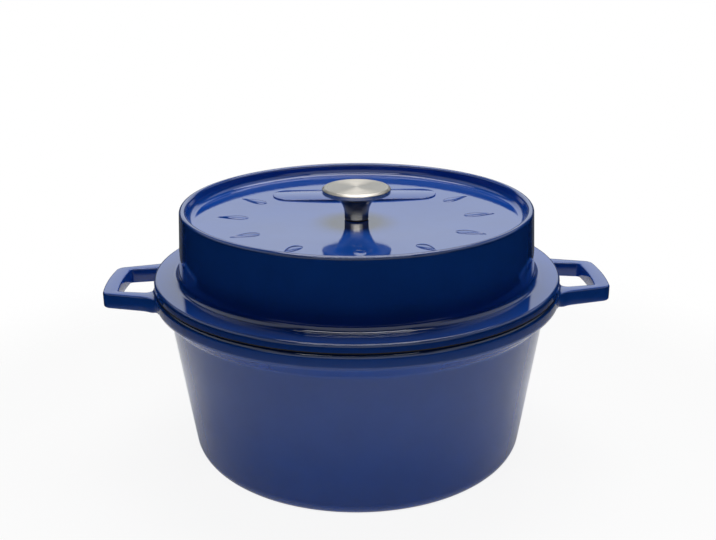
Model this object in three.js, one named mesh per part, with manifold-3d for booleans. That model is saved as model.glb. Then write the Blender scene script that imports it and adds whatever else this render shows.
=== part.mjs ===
// A round enamelled cast-iron dutch oven with a tall recessed lid, held by a mushroom knob.
// Millimetres, +Z up. The origin is the centre of the base, and the two loop handles lie along X.

import * as THREE from 'three';
import { mergeVertices } from 'three/addons/utils/BufferGeometryUtils.js';
import Module from 'manifold-3d';

// Pot casting
const POT_HEIGHT = 122.5; // base to the seat on the rim
const RIM_RADIUS = 139; // outside of the rim
const RIM_FACE = 9.2; // height of the rim's upright outer band
const RIM_OVERHANG = 9.7; // how far the rim stands out from the body below it
const RIM_FLARE = 9; // height of the sloping underside of the rim
const RIM_EDGE = 2.6; // rounding of the rim's outer upper edge
const RIM_ROUNDING = 1.6; // rounding of its inner edges
const RIM_FOOT_ROUNDING = 4; // lower edge of the rim's band
const SHOULDER_ROUNDING = 5; // where the underside of the rim runs into the body
const SEAT_WIDTH = 9; // flat ring on the rim that carries the lid
const WALL_TAPER = 8.05; // degrees from upright, narrowing towards the base
const POT_WALL = 3.5;
const POT_FLOOR = 4;
const BASE_ROUNDING = 12.5;
const INNER_BASE_ROUNDING = 11;

// Loop handles, cast in one piece with the pot
const HANDLE_REACH = 33.8; // beyond the rim, to the curved outer edge of the bar
const HANDLE_HALF_WIDTH = 26.1; // outside of the arms, level with the bar's outer edge
const HANDLE_ARM = 6.8; // width of an arm at the bar's inner edge
const HANDLE_BAR = 10.2; // the bar curves round the pot
const HANDLE_THICKNESS = 10.4;
const HANDLE_DROP = 1.6; // top of the handle below the seat
const HANDLE_CORNER = 6; // outer corners of the loop, in plan
const HANDLE_EDGE = 1.2; // rounding along the edges
const ARM_SLANT = 16; // degrees by which the outside of each arm spreads towards the rim
const ARM_ROOT = 20; // fillet from the outside of each arm into the rim
const LOOP_SLANT = 8; // degrees by which the inside of each arm spreads towards the rim
const LOOP_CORNER = 3; // inside the loop, at the bar
const LOOP_ROOT = 5; // inside the loop, at the rim

// Lid casting
const SEAT_GAP = 0.3;
const FLANGE_SETBACK = 0.5; // edge of the lid inside the edge of the rim
const FLANGE_THICKNESS = 6.2;
const FLANGE_EDGE = 2.2; // rounding of the flange's upper edge
const FLANGE_FOOT = 1.2; // rounding of the flange's lower edge
const FLANGE_LEDGE = 17; // flat top of the flange, out from the lid's wall
const FLANGE_FILLET = 4.5;
const LID_RISE = 45.7; // top of the flange to the top of the lid's rim
const LID_DRAFT = 2.9; // degrees from upright, narrowing towards the top
const LID_WALL = 3.5;
const LID_TOP = 4; // thickness of the recessed top
const LID_RIM_WIDTH = 4.5;
const LID_RIM_ROUNDING = 2.2;
const RECESS_DEPTH = 8.6; // at the foot of the recess's wall
const RECESS_DISH = 3.4; // how far the recess's floor sinks from there to the knob
const DISH_RADIUS = 35; // where the floor's slope meets its level middle
const DISH_ROUNDING = 800;
const RECESS_DRAFT = 5; // degrees from upright
const RECESS_FILLET = 5;
const HOLLOW_FILLET = 8;
const LIP_HEIGHT = 5; // locating ring that drops inside the rim
const LIP_THICKNESS = 4;
const LIP_CLEARANCE = 1.2;
const LIP_ROUNDING = 1.2;

// Knob, with its gasket above the lid and its screw and washers below
const KNOB_RADIUS = 23.3;
const KNOB_HEIGHT = 22;
const KNOB_EDGE = 3; // upright edge of the knob's disc
const KNOB_CROWN = 1.2; // height of the bevel round the top
const KNOB_BEVEL = 1.6; // width of the bevel round the top
const KNOB_DISH = 1.2; // how far the underside drops from the edge to the stem
const STEM_RADIUS = 8.35;
const STEM_FILLET = 14; // the stem flares up into the disc
const GASKET_THICKNESS = 0.5;
const GASKET_INSET = 0.4; // edge of the gasket inside the edge of the stem's foot
const SCREW_RADIUS = 3;
const SCREW_ENGAGEMENT = 9; // length of screw inside the knob
const SCREW_END_GAP = 2;
const SCREW_CLEARANCE = 0.3; // in the knob, the gasket and the washers
const LID_HOLE_CLEARANCE = 0.5;
const SCREW_HEAD_RADIUS = 5.8;
const SCREW_HEAD_HEIGHT = 4;
const SCREW_HEAD_ROUNDING = 1.8;
const DRIVE_LENGTH = 5.6; // each bar of the cross recess in the screw's head
const DRIVE_WIDTH = 1.3;
const DRIVE_DEPTH = 2;
const FLAT_WASHER_RADIUS = 9;
const FLAT_WASHER_THICKNESS = 1.6;
const LOCK_WASHER_RADIUS = 5.5;
const LOCK_WASHER_THICKNESS = 1.6;
const LOCK_WASHER_SPLIT = 1.2; // width of the cut through the ring
const STACK_GAP = 0.1; // between the pieces that the screw clamps

// How finely the round shapes are cut
const CASTING_SIDES = 64;
const KNOB_SIDES = 32;
const SMALL_SIDES = 20;
const ARC_STEP = 30; // degrees of turn for each straight step
const HANDLE_STEPS = 3;
const EDGE_STEPS = 2;
const MERGE_TOLERANCE = 1e-4;

// Levels and radii that several pieces share
const degrees = THREE.MathUtils.degToRad;
const innerRimRadius = RIM_RADIUS - SEAT_WIDTH;
const lidHoleRadius = SCREW_RADIUS + LID_HOLE_CLEARANCE;
const washerHoleRadius = SCREW_RADIUS + SCREW_CLEARANCE;
const lidTopLevel = FLANGE_THICKNESS + LID_RISE;
const recessLevel = lidTopLevel - RECESS_DEPTH - RECESS_DISH;
const ceilingLevel = recessLevel - LID_TOP;
const gasketLevel = recessLevel + STACK_GAP;
const knobLevel = gasketLevel + GASKET_THICKNESS + STACK_GAP;
const flatWasherLevel = ceilingLevel - STACK_GAP - FLAT_WASHER_THICKNESS;
const lockWasherLevel = flatWasherLevel - STACK_GAP - LOCK_WASHER_THICKNESS;
const screwHeadLevel = lockWasherLevel - STACK_GAP;

// Finishes
const blueEnamel = new THREE.MeshStandardMaterial({ color: 0x1b2f78, roughness: 0.12, metalness: 0 });
const satinNickel = new THREE.MeshStandardMaterial({ color: 0xc8c4ba, roughness: 0.3, metalness: 1 });
const darkSilicone = new THREE.MeshStandardMaterial({ color: 0x1c1c20, roughness: 0.7, metalness: 0 });
const zincSteel = new THREE.MeshStandardMaterial({ color: 0xb4b6b8, roughness: 0.35, metalness: 1 });

const wasm = await Module();
wasm.setup();

// Joins and cuts closed meshes
function solidFrom(geometry) {
  geometry.deleteAttribute('normal');
  geometry.deleteAttribute('uv');
  const merged = mergeVertices(geometry, MERGE_TOLERANCE);
  const corners = merged.index.array;
  const kept = [];
  for (let i = 0; i < corners.length; i += 3) {
    const [a, b, c] = corners.slice(i, i + 3);
    if (a !== b && b !== c && c !== a) kept.push(a, b, c);
  }
  const vertProperties = merged.attributes.position.array;
  return new wasm.Manifold(new wasm.Mesh({ numProp: 3, vertProperties, triVerts: Uint32Array.from(kept) }));
}

function geometryFrom(solid) {
  const { vertProperties, triVerts } = solid.getMesh();
  const geometry = new THREE.BufferGeometry();
  geometry.setAttribute('position', new THREE.BufferAttribute(vertProperties, 3));
  geometry.setIndex(new THREE.BufferAttribute(triVerts, 1));
  geometry.computeVertexNormals();
  return geometry;
}

// One rounded corner of an outline: the arc that touches both of the lines meeting at the corner.
// The radius shrinks where the arc would not fit, and a line between two rounded corners is shared by halves.
function cornerArc(before, [x, y, radius], after) {
  const corner = new THREE.Vector2(x, y);
  const back = new THREE.Vector2(before[0], before[1]).sub(corner);
  const ahead = new THREE.Vector2(after[0], after[1]).sub(corner);
  const room = Math.min(back.length() / (before[2] ? 2 : 1), ahead.length() / (after[2] ? 2 : 1));
  back.normalize();
  ahead.normalize();
  const halfAngle = Math.acos(THREE.MathUtils.clamp(back.dot(ahead), -1, 1)) / 2;
  const fitted = Math.min(radius, room * Math.tan(halfAngle));
  const centre = back.clone().add(ahead).normalize().multiplyScalar(fitted / Math.sin(halfAngle)).add(corner);
  const clockwise = back.cross(ahead) > 0;
  const touch = (direction) => direction.clone().multiplyScalar(fitted / Math.tan(halfAngle)).add(corner);
  const start = touch(back).sub(centre).angle();
  const end = touch(ahead).sub(centre).angle();
  const steps = Math.max(1, Math.round((Math.PI - 2 * halfAngle) / degrees(ARC_STEP)));
  return new THREE.EllipseCurve(centre.x, centre.y, fitted, fitted, start, end, clockwise).getPoints(steps);
}

// An outline from corners of [radius, height, rounding]: open if it ends on the axis, else closed on itself.
function outline(corners) {
  const onAxis = corners[0][0] === 0;
  const last = corners.length - 1;
  const points = corners.flatMap((corner, i) => {
    if (!corner[2]) return [new THREE.Vector2(corner[0], corner[1])];
    return cornerArc(corners[i === 0 ? last : i - 1], corner, corners[i === last ? 0 : i + 1]);
  });
  return onAxis ? points : [...points, points[0].clone()];
}

function turned(corners, sides) {
  return new THREE.LatheGeometry(outline(corners), sides).rotateX(Math.PI / 2);
}

function flatRing(innerRadius, outerRadius, thickness) {
  return turned([[innerRadius, 0], [outerRadius, 0], [outerRadius, thickness], [innerRadius, thickness]], SMALL_SIDES);
}

function piece(name, geometry, material, level = 0) {
  const mesh = new THREE.Mesh(geometry, material);
  mesh.name = name;
  mesh.position.z = level;
  return mesh;
}

// The bowl: a tapered wall with a rounded base, under a rim that flares out to carry the lid.
function potBowl() {
  const slope = Math.tan(degrees(WALL_TAPER));
  const rimFoot = POT_HEIGHT - RIM_FACE;
  const shoulder = rimFoot - RIM_FLARE;
  const shoulderRadius = RIM_RADIUS - RIM_OVERHANG;
  const wallRadius = (level) => shoulderRadius - (shoulder - level) * slope;
  const innerWall = POT_WALL / Math.cos(degrees(WALL_TAPER));
  const innerStep = POT_HEIGHT - LIP_HEIGHT - RIM_ROUNDING * 2;
  return turned([
    [0, 0],
    [wallRadius(0), 0, BASE_ROUNDING],
    [shoulderRadius, shoulder, SHOULDER_ROUNDING],
    [RIM_RADIUS, rimFoot, RIM_FOOT_ROUNDING],
    [RIM_RADIUS, POT_HEIGHT, RIM_EDGE],
    [innerRimRadius, POT_HEIGHT, RIM_ROUNDING],
    [innerRimRadius, innerStep, RIM_ROUNDING],
    [wallRadius(shoulder) - innerWall, shoulder, SHOULDER_ROUNDING],
    [wallRadius(POT_FLOOR) - innerWall, POT_FLOOR, INNER_BASE_ROUNDING],
    [0, POT_FLOOR],
  ], CASTING_SIDES);
}

// Centre of an arc that rounds the corner between one side of an arm, on -Y, and a circle round the pot.
// The side leaves the bar at the given point, slants out towards the rim, and has the arc `offset` outside it.
function sideFillet(x, halfWidth, slant, offset, circleRadius) {
  const along = new THREE.Vector2(-Math.cos(slant), -Math.sin(slant));
  const start = new THREE.Vector2(x + offset * Math.sin(slant), -halfWidth - offset * Math.cos(slant));
  const nearest = start.dot(along);
  const run = -nearest - Math.sqrt(nearest ** 2 - start.lengthSq() + circleRadius ** 2);
  return start.addScaledVector(along, run);
}

// Plan of one loop handle on +X. Its root runs in under the seat, where the rim is solid.
function handlePlan() {
  const quarter = Math.PI / 2;
  const reach = RIM_RADIUS + HANDLE_REACH;
  const rootRadius = innerRimRadius + RIM_ROUNDING;
  const slant = degrees(ARM_SLANT);
  const root = sideFillet(reach, HANDLE_HALF_WIDTH, slant, ARM_ROOT, RIM_RADIUS + ARM_ROOT);
  const corner = sideFillet(reach, HANDLE_HALF_WIDTH, slant, -HANDLE_CORNER, reach - HANDLE_CORNER);
  const rootAngle = Math.atan2(-root.y, root.x);
  const cornerAngle = Math.atan2(-corner.y, corner.x);
  const plan = new THREE.Shape();
  plan.absarc(0, 0, rootRadius, rootAngle, -rootAngle, true);
  plan.absarc(root.x, root.y, ARM_ROOT, Math.PI - rootAngle, quarter + slant, true);
  plan.absarc(corner.x, corner.y, HANDLE_CORNER, slant - quarter, -cornerAngle, false);
  plan.absarc(0, 0, reach, -cornerAngle, cornerAngle, false);
  plan.absarc(corner.x, -corner.y, HANDLE_CORNER, cornerAngle, quarter - slant, false);
  plan.absarc(root.x, -root.y, ARM_ROOT, -quarter - slant, rootAngle - Math.PI, true);

  const inner = reach - HANDLE_BAR;
  const halfLoop = HANDLE_HALF_WIDTH + HANDLE_BAR * Math.tan(slant) - HANDLE_ARM;
  const loopSlant = degrees(LOOP_SLANT);
  const loopRoot = sideFillet(inner, halfLoop, loopSlant, -LOOP_ROOT, RIM_RADIUS + LOOP_ROOT);
  const loopCorner = sideFillet(inner, halfLoop, loopSlant, -LOOP_CORNER, inner - LOOP_CORNER);
  const loopRootAngle = Math.atan2(-loopRoot.y, loopRoot.x);
  const loopAngle = Math.atan2(-loopCorner.y, loopCorner.x);
  const loop = new THREE.Path();
  loop.absarc(loopRoot.x, loopRoot.y, LOOP_ROOT, Math.PI - loopRootAngle, 3 * quarter + loopSlant, false);
  loop.absarc(loopCorner.x, loopCorner.y, LOOP_CORNER, loopSlant - quarter, -loopAngle, false);
  loop.absarc(0, 0, inner, -loopAngle, loopAngle, false);
  loop.absarc(loopCorner.x, -loopCorner.y, LOOP_CORNER, loopAngle, quarter - loopSlant, false);
  loop.absarc(loopRoot.x, -loopRoot.y, LOOP_ROOT, quarter - loopSlant, Math.PI + loopRootAngle, false);
  loop.absarc(0, 0, RIM_RADIUS, loopRootAngle, -loopRootAngle, true);
  plan.holes.push(loop);
  return plan;
}

function handleLoop() {
  const geometry = new THREE.ExtrudeGeometry(handlePlan(), {
    depth: HANDLE_THICKNESS - 2 * HANDLE_EDGE,
    curveSegments: HANDLE_STEPS,
    bevelThickness: HANDLE_EDGE,
    bevelSize: HANDLE_EDGE,
    bevelOffset: -HANDLE_EDGE,
    bevelSegments: EDGE_STEPS,
  });
  return geometry.translate(0, 0, POT_HEIGHT - HANDLE_DROP - HANDLE_THICKNESS + HANDLE_EDGE);
}

function potBody() {
  const right = solidFrom(handleLoop());
  const left = solidFrom(handleLoop().rotateZ(Math.PI));
  return geometryFrom(solidFrom(potBowl()).add(right).add(left));
}

// The lid: a flange with a locating lip, a tall wall, and a dished top recessed inside a raised rim.
function lidCasting() {
  const flangeRadius = RIM_RADIUS - FLANGE_SETBACK;
  const wallFoot = flangeRadius - FLANGE_LEDGE;
  const draft = Math.tan(degrees(LID_DRAFT));
  const wallRadius = (level) => wallFoot - (level - FLANGE_THICKNESS) * draft;
  const rimInside = wallRadius(lidTopLevel) - LID_RIM_WIDTH;
  const recessRadius = rimInside - RECESS_DEPTH * Math.tan(degrees(RECESS_DRAFT));
  const ceilingEdge = ceilingLevel + RECESS_DISH;
  const lipRadius = innerRimRadius - LIP_CLEARANCE;
  return turned([
    [lipRadius, -LIP_HEIGHT, LIP_ROUNDING],
    [lipRadius, 0],
    [flangeRadius, 0, FLANGE_FOOT],
    [flangeRadius, FLANGE_THICKNESS, FLANGE_EDGE],
    [wallFoot, FLANGE_THICKNESS, FLANGE_FILLET],
    [wallRadius(lidTopLevel), lidTopLevel, LID_RIM_ROUNDING],
    [rimInside, lidTopLevel, LID_RIM_ROUNDING],
    [recessRadius, recessLevel + RECESS_DISH, RECESS_FILLET],
    [DISH_RADIUS, recessLevel, DISH_ROUNDING],
    [lidHoleRadius, recessLevel],
    [lidHoleRadius, ceilingLevel],
    [DISH_RADIUS, ceilingLevel, DISH_ROUNDING],
    [wallRadius(ceilingEdge) - LID_WALL, ceilingEdge, HOLLOW_FILLET],
    [wallFoot - LID_WALL, FLANGE_THICKNESS, FLANGE_FILLET],
    [lipRadius - LIP_THICKNESS, 0, FLANGE_FILLET],
    [lipRadius - LIP_THICKNESS, -LIP_HEIGHT, LIP_ROUNDING],
  ], CASTING_SIDES);
}

// The knob: a shallow disc on a stem that flares up into it, with a blind hole for the screw.
function knobTurning() {
  const edgeTop = KNOB_HEIGHT - KNOB_CROWN;
  const edgeFoot = edgeTop - KNOB_EDGE;
  const holeTop = SCREW_ENGAGEMENT + SCREW_END_GAP;
  return turned([
    [0, holeTop],
    [washerHoleRadius, holeTop],
    [washerHoleRadius, 0],
    [STEM_RADIUS, 0],
    [STEM_RADIUS, edgeFoot - KNOB_DISH, STEM_FILLET],
    [KNOB_RADIUS, edgeFoot],
    [KNOB_RADIUS, edgeTop],
    [KNOB_RADIUS - KNOB_BEVEL, KNOB_HEIGHT],
    [0, KNOB_HEIGHT],
  ], KNOB_SIDES);
}

// The screw runs up through the washers and the lid into the knob, with its head lowest.
function knobScrew() {
  const length = knobLevel + SCREW_ENGAGEMENT - screwHeadLevel;
  const shape = solidFrom(turned([
    [0, -SCREW_HEAD_HEIGHT],
    [SCREW_HEAD_RADIUS, -SCREW_HEAD_HEIGHT, SCREW_HEAD_ROUNDING],
    [SCREW_HEAD_RADIUS, 0],
    [SCREW_RADIUS, 0],
    [SCREW_RADIUS, length],
    [0, length],
  ], SMALL_SIDES));
  const bar = () => {
    const box = new THREE.BoxGeometry(DRIVE_LENGTH, DRIVE_WIDTH, DRIVE_DEPTH * 2);
    return box.translate(0, 0, -SCREW_HEAD_HEIGHT);
  };
  const cross = solidFrom(bar()).add(solidFrom(bar().rotateZ(Math.PI / 2)));
  return geometryFrom(shape.subtract(cross));
}

// A spring washer, cut through once so that it can flatten under the screw's head.
function lockWasherRing() {
  const halfSplit = LOCK_WASHER_SPLIT / 2;
  const outerAngle = Math.asin(halfSplit / LOCK_WASHER_RADIUS);
  const innerAngle = Math.asin(halfSplit / washerHoleRadius);
  const ring = new THREE.Shape();
  ring.absarc(0, 0, LOCK_WASHER_RADIUS, outerAngle, 2 * Math.PI - outerAngle, false);
  ring.absarc(0, 0, washerHoleRadius, 2 * Math.PI - innerAngle, innerAngle, true);
  return new THREE.ExtrudeGeometry(ring, {
    depth: LOCK_WASHER_THICKNESS,
    curveSegments: SMALL_SIDES / 2,
    bevelEnabled: false,
  });
}

const gasketRadius = STEM_RADIUS - GASKET_INSET;
const gasketRing = flatRing(washerHoleRadius, gasketRadius, GASKET_THICKNESS);
const flatWasherRing = flatRing(washerHoleRadius, FLAT_WASHER_RADIUS, FLAT_WASHER_THICKNESS);

// Everything that lifts off together
const lidAssembly = new THREE.Group();
lidAssembly.position.z = POT_HEIGHT + SEAT_GAP;
lidAssembly.add(
  piece('lid', lidCasting(), blueEnamel),
  piece('knob', knobTurning(), satinNickel, knobLevel),
  piece('knob_gasket', gasketRing, darkSilicone, gasketLevel),
  piece('knob_screw', knobScrew(), zincSteel, screwHeadLevel),
  piece('flat_washer', flatWasherRing, zincSteel, flatWasherLevel),
  piece('lock_washer', lockWasherRing(), zincSteel, lockWasherLevel),
);

const dutchOven = new THREE.Group();
dutchOven.add(piece('pot_body', potBody(), blueEnamel), lidAssembly);

export default dutchOven;
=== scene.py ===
"""Dresses a dutch oven: enamelled castings, a turned knob with its fasteners, and a plain studio."""

import math

import bpy
from bpy.props import FloatProperty, FloatVectorProperty, IntProperty, PointerProperty
from mathutils import Matrix, Vector


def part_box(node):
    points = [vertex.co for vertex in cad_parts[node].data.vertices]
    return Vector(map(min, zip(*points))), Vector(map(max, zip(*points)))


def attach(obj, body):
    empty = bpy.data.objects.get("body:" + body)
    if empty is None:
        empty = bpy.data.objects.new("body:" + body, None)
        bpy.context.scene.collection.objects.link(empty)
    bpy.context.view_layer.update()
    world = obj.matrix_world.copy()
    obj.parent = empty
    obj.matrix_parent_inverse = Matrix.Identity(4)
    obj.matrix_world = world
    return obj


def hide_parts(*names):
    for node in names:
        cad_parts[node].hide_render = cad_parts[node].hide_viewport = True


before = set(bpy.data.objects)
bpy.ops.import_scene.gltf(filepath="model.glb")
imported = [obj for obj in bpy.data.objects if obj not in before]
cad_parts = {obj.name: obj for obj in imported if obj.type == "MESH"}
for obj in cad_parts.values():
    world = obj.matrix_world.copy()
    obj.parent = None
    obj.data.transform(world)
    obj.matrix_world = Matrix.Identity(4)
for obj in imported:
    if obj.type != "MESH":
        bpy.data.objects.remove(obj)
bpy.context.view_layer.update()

bl_info = {
    "name": "Dutch Oven",
    "version": (1, 0, 0),
    "blender": (4, 5, 0),
    "location": "View3D > Sidebar > Dutch Oven",
    "description": "Builds an enamelled cast-iron dutch oven around its fixed frame",
    "category": "Add Mesh",
}

MM = 0.001

# Boxes of the fixed frame, which the visible pieces are sized from
POT_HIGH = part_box("pot_body")[1]
LID_LOW, LID_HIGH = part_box("lid")
KNOB_LOW, KNOB_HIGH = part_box("knob")
GASKET_LOW, GASKET_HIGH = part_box("knob_gasket")

# Sides of a turned piece, and of one pad of the lid's relief
CASTING_SIDES = 256
KNOB_SIDES = 128
RELIEF_SIDES = 48

# An arc of an outline is cut into steps no wider and no longer than these
ARC_STEP = math.radians(7.5)
ARC_LENGTH = 8 * MM

# Steps along each arc in a handle's plan, and round each edge of its section
PATH_STEPS = 14
EDGE_STEPS = 5

# Faces that meet at more than this keep a sharp edge between them
SHARP_ANGLE = math.radians(32)

# The relief starts below the recess's floor, so no gap shows under it
RELIEF_SUNK = 0.3 * MM

# Edge of the relief's plate, as insets and heights in shares of the relief's height
PLATE_EDGE = ((0, 0.3), (0.12, 0.65), (0.4, 0.9), (1, 1))

# Where the rings of a drop lie on its dome
DOME_STEPS = [math.radians(t) for t in (8, 20, 35, 50, 65, 80)]

# A drop narrows to its point by this power of a sine, which leaves its widest place this wide
DROP_POINT = 1.5
DROP_WIDEST = 0.702

# Glaze draws thin over an edge rounded less than this, and over a side narrower than this beside it
THIN_ROUNDING = 2.5 * MM
THIN_SIDE = 8 * MM

# How much of the thin glaze's colour shows there
THIN_SHARE = 0.3

# Stretches of an outline take one of these finishes, in the order of the piece's material slots
OUTSIDE, SEAT, INSIDE = 0, 1, 2

# Sockets of a Mix node that mixes colours
MIX_A, MIX_B, MIX_RESULT = 6, 7, 2

# White walls of the studio, as smooth steps of the direction in which they are seen:
# where a step starts and ends, and how bright it is there
BACK_WALL = (0.79, 0.87, 0.015, 1.0)
BACK_WALL_FOOT = (0.14, 0.24, 0.08, 1.0)
SIDE_WALLS = (0.42, 0.6, 0.0, 0.9)
SIDE_WALLS_FOOT = (0.38, 0.5, 0.0, 1.0)
FRONT_WALL = (-0.45, -0.7, 0.0, 1.0)
FRONT_WALL_FOOT = (0.06, 0.14, 0.0, 1.0)

# Fill light from below and from above the horizon, given in the same way
FILL = (-0.1, 0.1, 0.12, 0.02)

# How far the floor is lifted to plain white, seen directly and in a mirror
PAPER_SEEN = 0.9
PAPER_MIRRORED = 0.1

# Width of the camera's sensor in millimetres
SENSOR = 36


def linear(hex_value):
    """Turns an sRGB hex colour into linear red, green and blue."""
    channels = [int(hex_value[i:i + 2], 16) / 255 for i in (1, 3, 5)]
    return tuple(c / 12.92 if c <= 0.04045 else ((c + 0.055) / 1.055) ** 2.4 for c in channels)


def length(name, description, default):
    """A property that holds a length in metres."""
    return FloatProperty(
        name=name, description=description, default=default, unit="LENGTH", precision=4
    )


def slope(name, description, degrees):
    """A property that holds an angle, given in degrees."""
    return FloatProperty(
        name=name, description=description, default=math.radians(degrees), subtype="ANGLE"
    )


def power(name, description, watts):
    """A property that holds the power of a lamp in watts."""
    return FloatProperty(name=name, description=description, default=watts, unit="POWER")


def colour(name, description, hex_value):
    """A property that holds a colour, given as an sRGB hex value."""
    return FloatVectorProperty(
        name=name, description=description, default=linear(hex_value), subtype="COLOR", min=0, max=1
    )


class OvenPot(bpy.types.PropertyGroup):
    """Sizes of the pot's bowl"""

    height: length("Height", "Base to the seat on the rim", POT_HIGH.z)
    rim_radius: length("Rim radius", "Outside of the rim", POT_HIGH.y)
    rim_face: length("Rim face", "Height of the rim's upright outer band", 9.2 * MM)
    rim_overhang: length("Rim overhang", "How far the rim stands out from the body", 9.7 * MM)
    rim_flare: length("Rim flare", "Height of the sloping underside of the rim", 9 * MM)
    rim_edge: length("Rim edge", "Outer upper edge of the rim", 2.6 * MM)
    rim_rounding: length("Rim rounding", "Inner edges of the rim", 1.6 * MM)
    foot_rounding: length("Rim foot", "Lower edge of the rim's band", 4 * MM)
    shoulder_rounding: length("Shoulder", "Where the rim runs into the body", 5 * MM)
    seat_width: length("Seat width", "Flat ring that carries the lid", 9 * MM)
    seat_depth: length("Seat depth", "Upright inside of the rim", 8.2 * MM)
    taper: slope("Wall taper", "Slope of the wall from upright", 8.05)
    wall: length("Wall", "Thickness of the wall", 3.5 * MM)
    floor: length("Floor", "Thickness of the floor", 4 * MM)
    base_rounding: length("Base rounding", "Outside corner of the base", 12.5 * MM)
    inner_rounding: length("Inner rounding", "Inside corner of the base", 11 * MM)


class OvenHandles(bpy.types.PropertyGroup):
    """Sizes of the loop handles"""

    reach: length("Reach", "Outer edge of the bar, which curves round the pot", POT_HIGH.x)
    half_width: length("Half width", "Outside of an arm, level with the bar's outer edge", 26.1 * MM)
    arm: length("Arm", "Width of an arm at the bar's inner edge", 6.8 * MM)
    bar: length("Bar", "Width of the bar", 10.2 * MM)
    thickness: length("Thickness", "Height of the bar", 10.4 * MM)
    drop: length("Drop", "Top of the handle below the seat", 1.6 * MM)
    corner: length("Corner", "Outer corner of the loop", 6 * MM)
    edge: length("Edge", "Rounding along the edges", 1.2 * MM)
    arm_slant: slope("Arm slant", "Spread of the outside of an arm towards the rim", 16)
    arm_root: length("Arm root", "Fillet from the outside of an arm into the rim", 20 * MM)
    loop_slant: slope("Loop slant", "Spread of the inside of an arm towards the rim", 8)
    loop_corner: length("Loop corner", "Inner corner at the bar", 3 * MM)
    loop_root: length("Loop root", "Inner corner at the rim", 5 * MM)
    top_fillet: length("Top fillet", "Fillet from the top of an arm up the rim", 1.2 * MM)
    root_lift: length("Root lift", "Rise of the underside of an arm at the rim", 2.4 * MM)
    root_run: length("Root run", "Length over which that rise fades out", 4 * MM)
    plug: length("Plug", "How far an arm runs inside the rim", 7.4 * MM)


class OvenLid(bpy.types.PropertyGroup):
    """Sizes of the lid"""

    flange_radius: length("Flange radius", "Outside of the flange", LID_HIGH.y)
    flange: length("Flange", "Thickness of the flange", 6.2 * MM)
    flange_rounding: length("Flange rounding", "Upper edge of the flange", 2.2 * MM)
    flange_foot: length("Flange foot", "Lower edge of the flange", 1.2 * MM)
    ledge: length("Ledge", "Flat top of the flange, out from the wall", 17 * MM)
    flange_fillet: length("Flange fillet", "From the flange up the wall", 4.5 * MM)
    draft: slope("Draft", "Slope of the wall from upright", 2.9)
    wall: length("Wall", "Thickness of the wall", 3.5 * MM)
    top: length("Top", "Thickness of the recessed top", 4 * MM)
    rim_width: length("Rim width", "Width of the raised rim", 4.5 * MM)
    rim_rounding: length("Rim rounding", "Edges of the raised rim", 2.2 * MM)
    recess: length("Recess", "Depth of the recess at the foot of its wall", 8.6 * MM)
    dish: length("Dish", "How far the recess's floor sinks from there to the knob", 3.4 * MM)
    dish_radius: length("Dish radius", "Where the floor's slope meets its level middle", 35 * MM)
    dish_rounding: length("Dish rounding", "From the level middle into the slope", 1300 * MM)
    recess_draft: slope("Recess draft", "Slope of the recess's wall", 5)
    recess_fillet: length("Recess fillet", "From the recess's floor up its wall", 5 * MM)
    hollow_fillet: length("Hollow fillet", "Inside corner under the top", 8 * MM)
    lip: length("Lip", "Height of the locating ring under the flange", 5 * MM)
    lip_thickness: length("Lip thickness", "Thickness of the locating ring", 4 * MM)
    lip_clearance: length("Lip clearance", "Gap from the locating ring to the rim", 1.2 * MM)
    lip_rounding: length("Lip rounding", "Edges of the locating ring", 1.2 * MM)
    hole_radius: length("Hole", "Radius of the screw's hole", 3.5 * MM)


class OvenKnob(bpy.types.PropertyGroup):
    """Sizes of the knob"""

    radius: length("Radius", "Outside of the disc", KNOB_HIGH.y)
    edge: length("Edge", "Upright edge of the disc", 3 * MM)
    crown: length("Crown", "Height of the bevel round the top", 1.2 * MM)
    bevel: length("Bevel", "Width of the bevel round the top", 1.6 * MM)
    dish: length("Dish", "Drop of the underside from the edge to the stem", 1.2 * MM)
    stem_radius: length("Stem", "Radius of the stem", 8.35 * MM)
    stem_fillet: length("Stem fillet", "The stem flares up into the disc", 14 * MM)
    hole_radius: length("Hole", "Radius of the screw's hole", 3.3 * MM)
    hole_depth: length("Hole depth", "Depth of the screw's hole", 11 * MM)
    rounding: length("Rounding", "Edges of the disc and of the foot", 0.8 * MM)
    gasket_rounding: length("Gasket rounding", "Edges of the gasket", 0.2 * MM)


class OvenRelief(bpy.types.PropertyGroup):
    """Sizes of the raised relief in the lid's recess"""

    height: length("Height", "Rise of the relief above the recess's floor", 0.9 * MM)
    plate_length: length("Plate length", "Bare plate behind the knob", 120 * MM)
    plate_width: length("Plate width", "Bare plate behind the knob", 25 * MM)
    plate_back: length("Plate back", "Middle of the plate behind the knob's axis", 57 * MM)
    ring_radius: length("Ring radius", "Middle of the drops from the knob's axis", 84 * MM)
    drop_length: length("Drop length", "Length of one drop", 21 * MM)
    drop_width: length("Drop width", "Width of one drop", 8.2 * MM)
    drops: IntProperty(
        name="Drops", description="Places round the ring, of which the plate takes some", default=12
    )


class OvenFinish(bpy.types.PropertyGroup):
    """Colours of the finishes"""

    enamel: colour("Blue enamel", "Outside of the castings", "#1B57BC")
    enamel_thin: colour("Thin enamel", "Blue enamel where it draws thin on an edge", "#0C1A4E")
    cream: colour("Cream enamel", "Inside of the castings", "#F0EBE0")
    cream_thin: colour("Thin cream", "Cream enamel where it draws thin on an edge", "#E5E0D6")
    iron: colour("Bare iron", "Seat between pot and lid", "#25272B")
    nickel: colour("Satin nickel", "Knob", "#C4BEB4")
    steel: colour("Bright steel", "Screw and washers", "#B9BBBE")
    silicone: colour("Silicone", "Gasket", "#1B1B1E")


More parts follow.
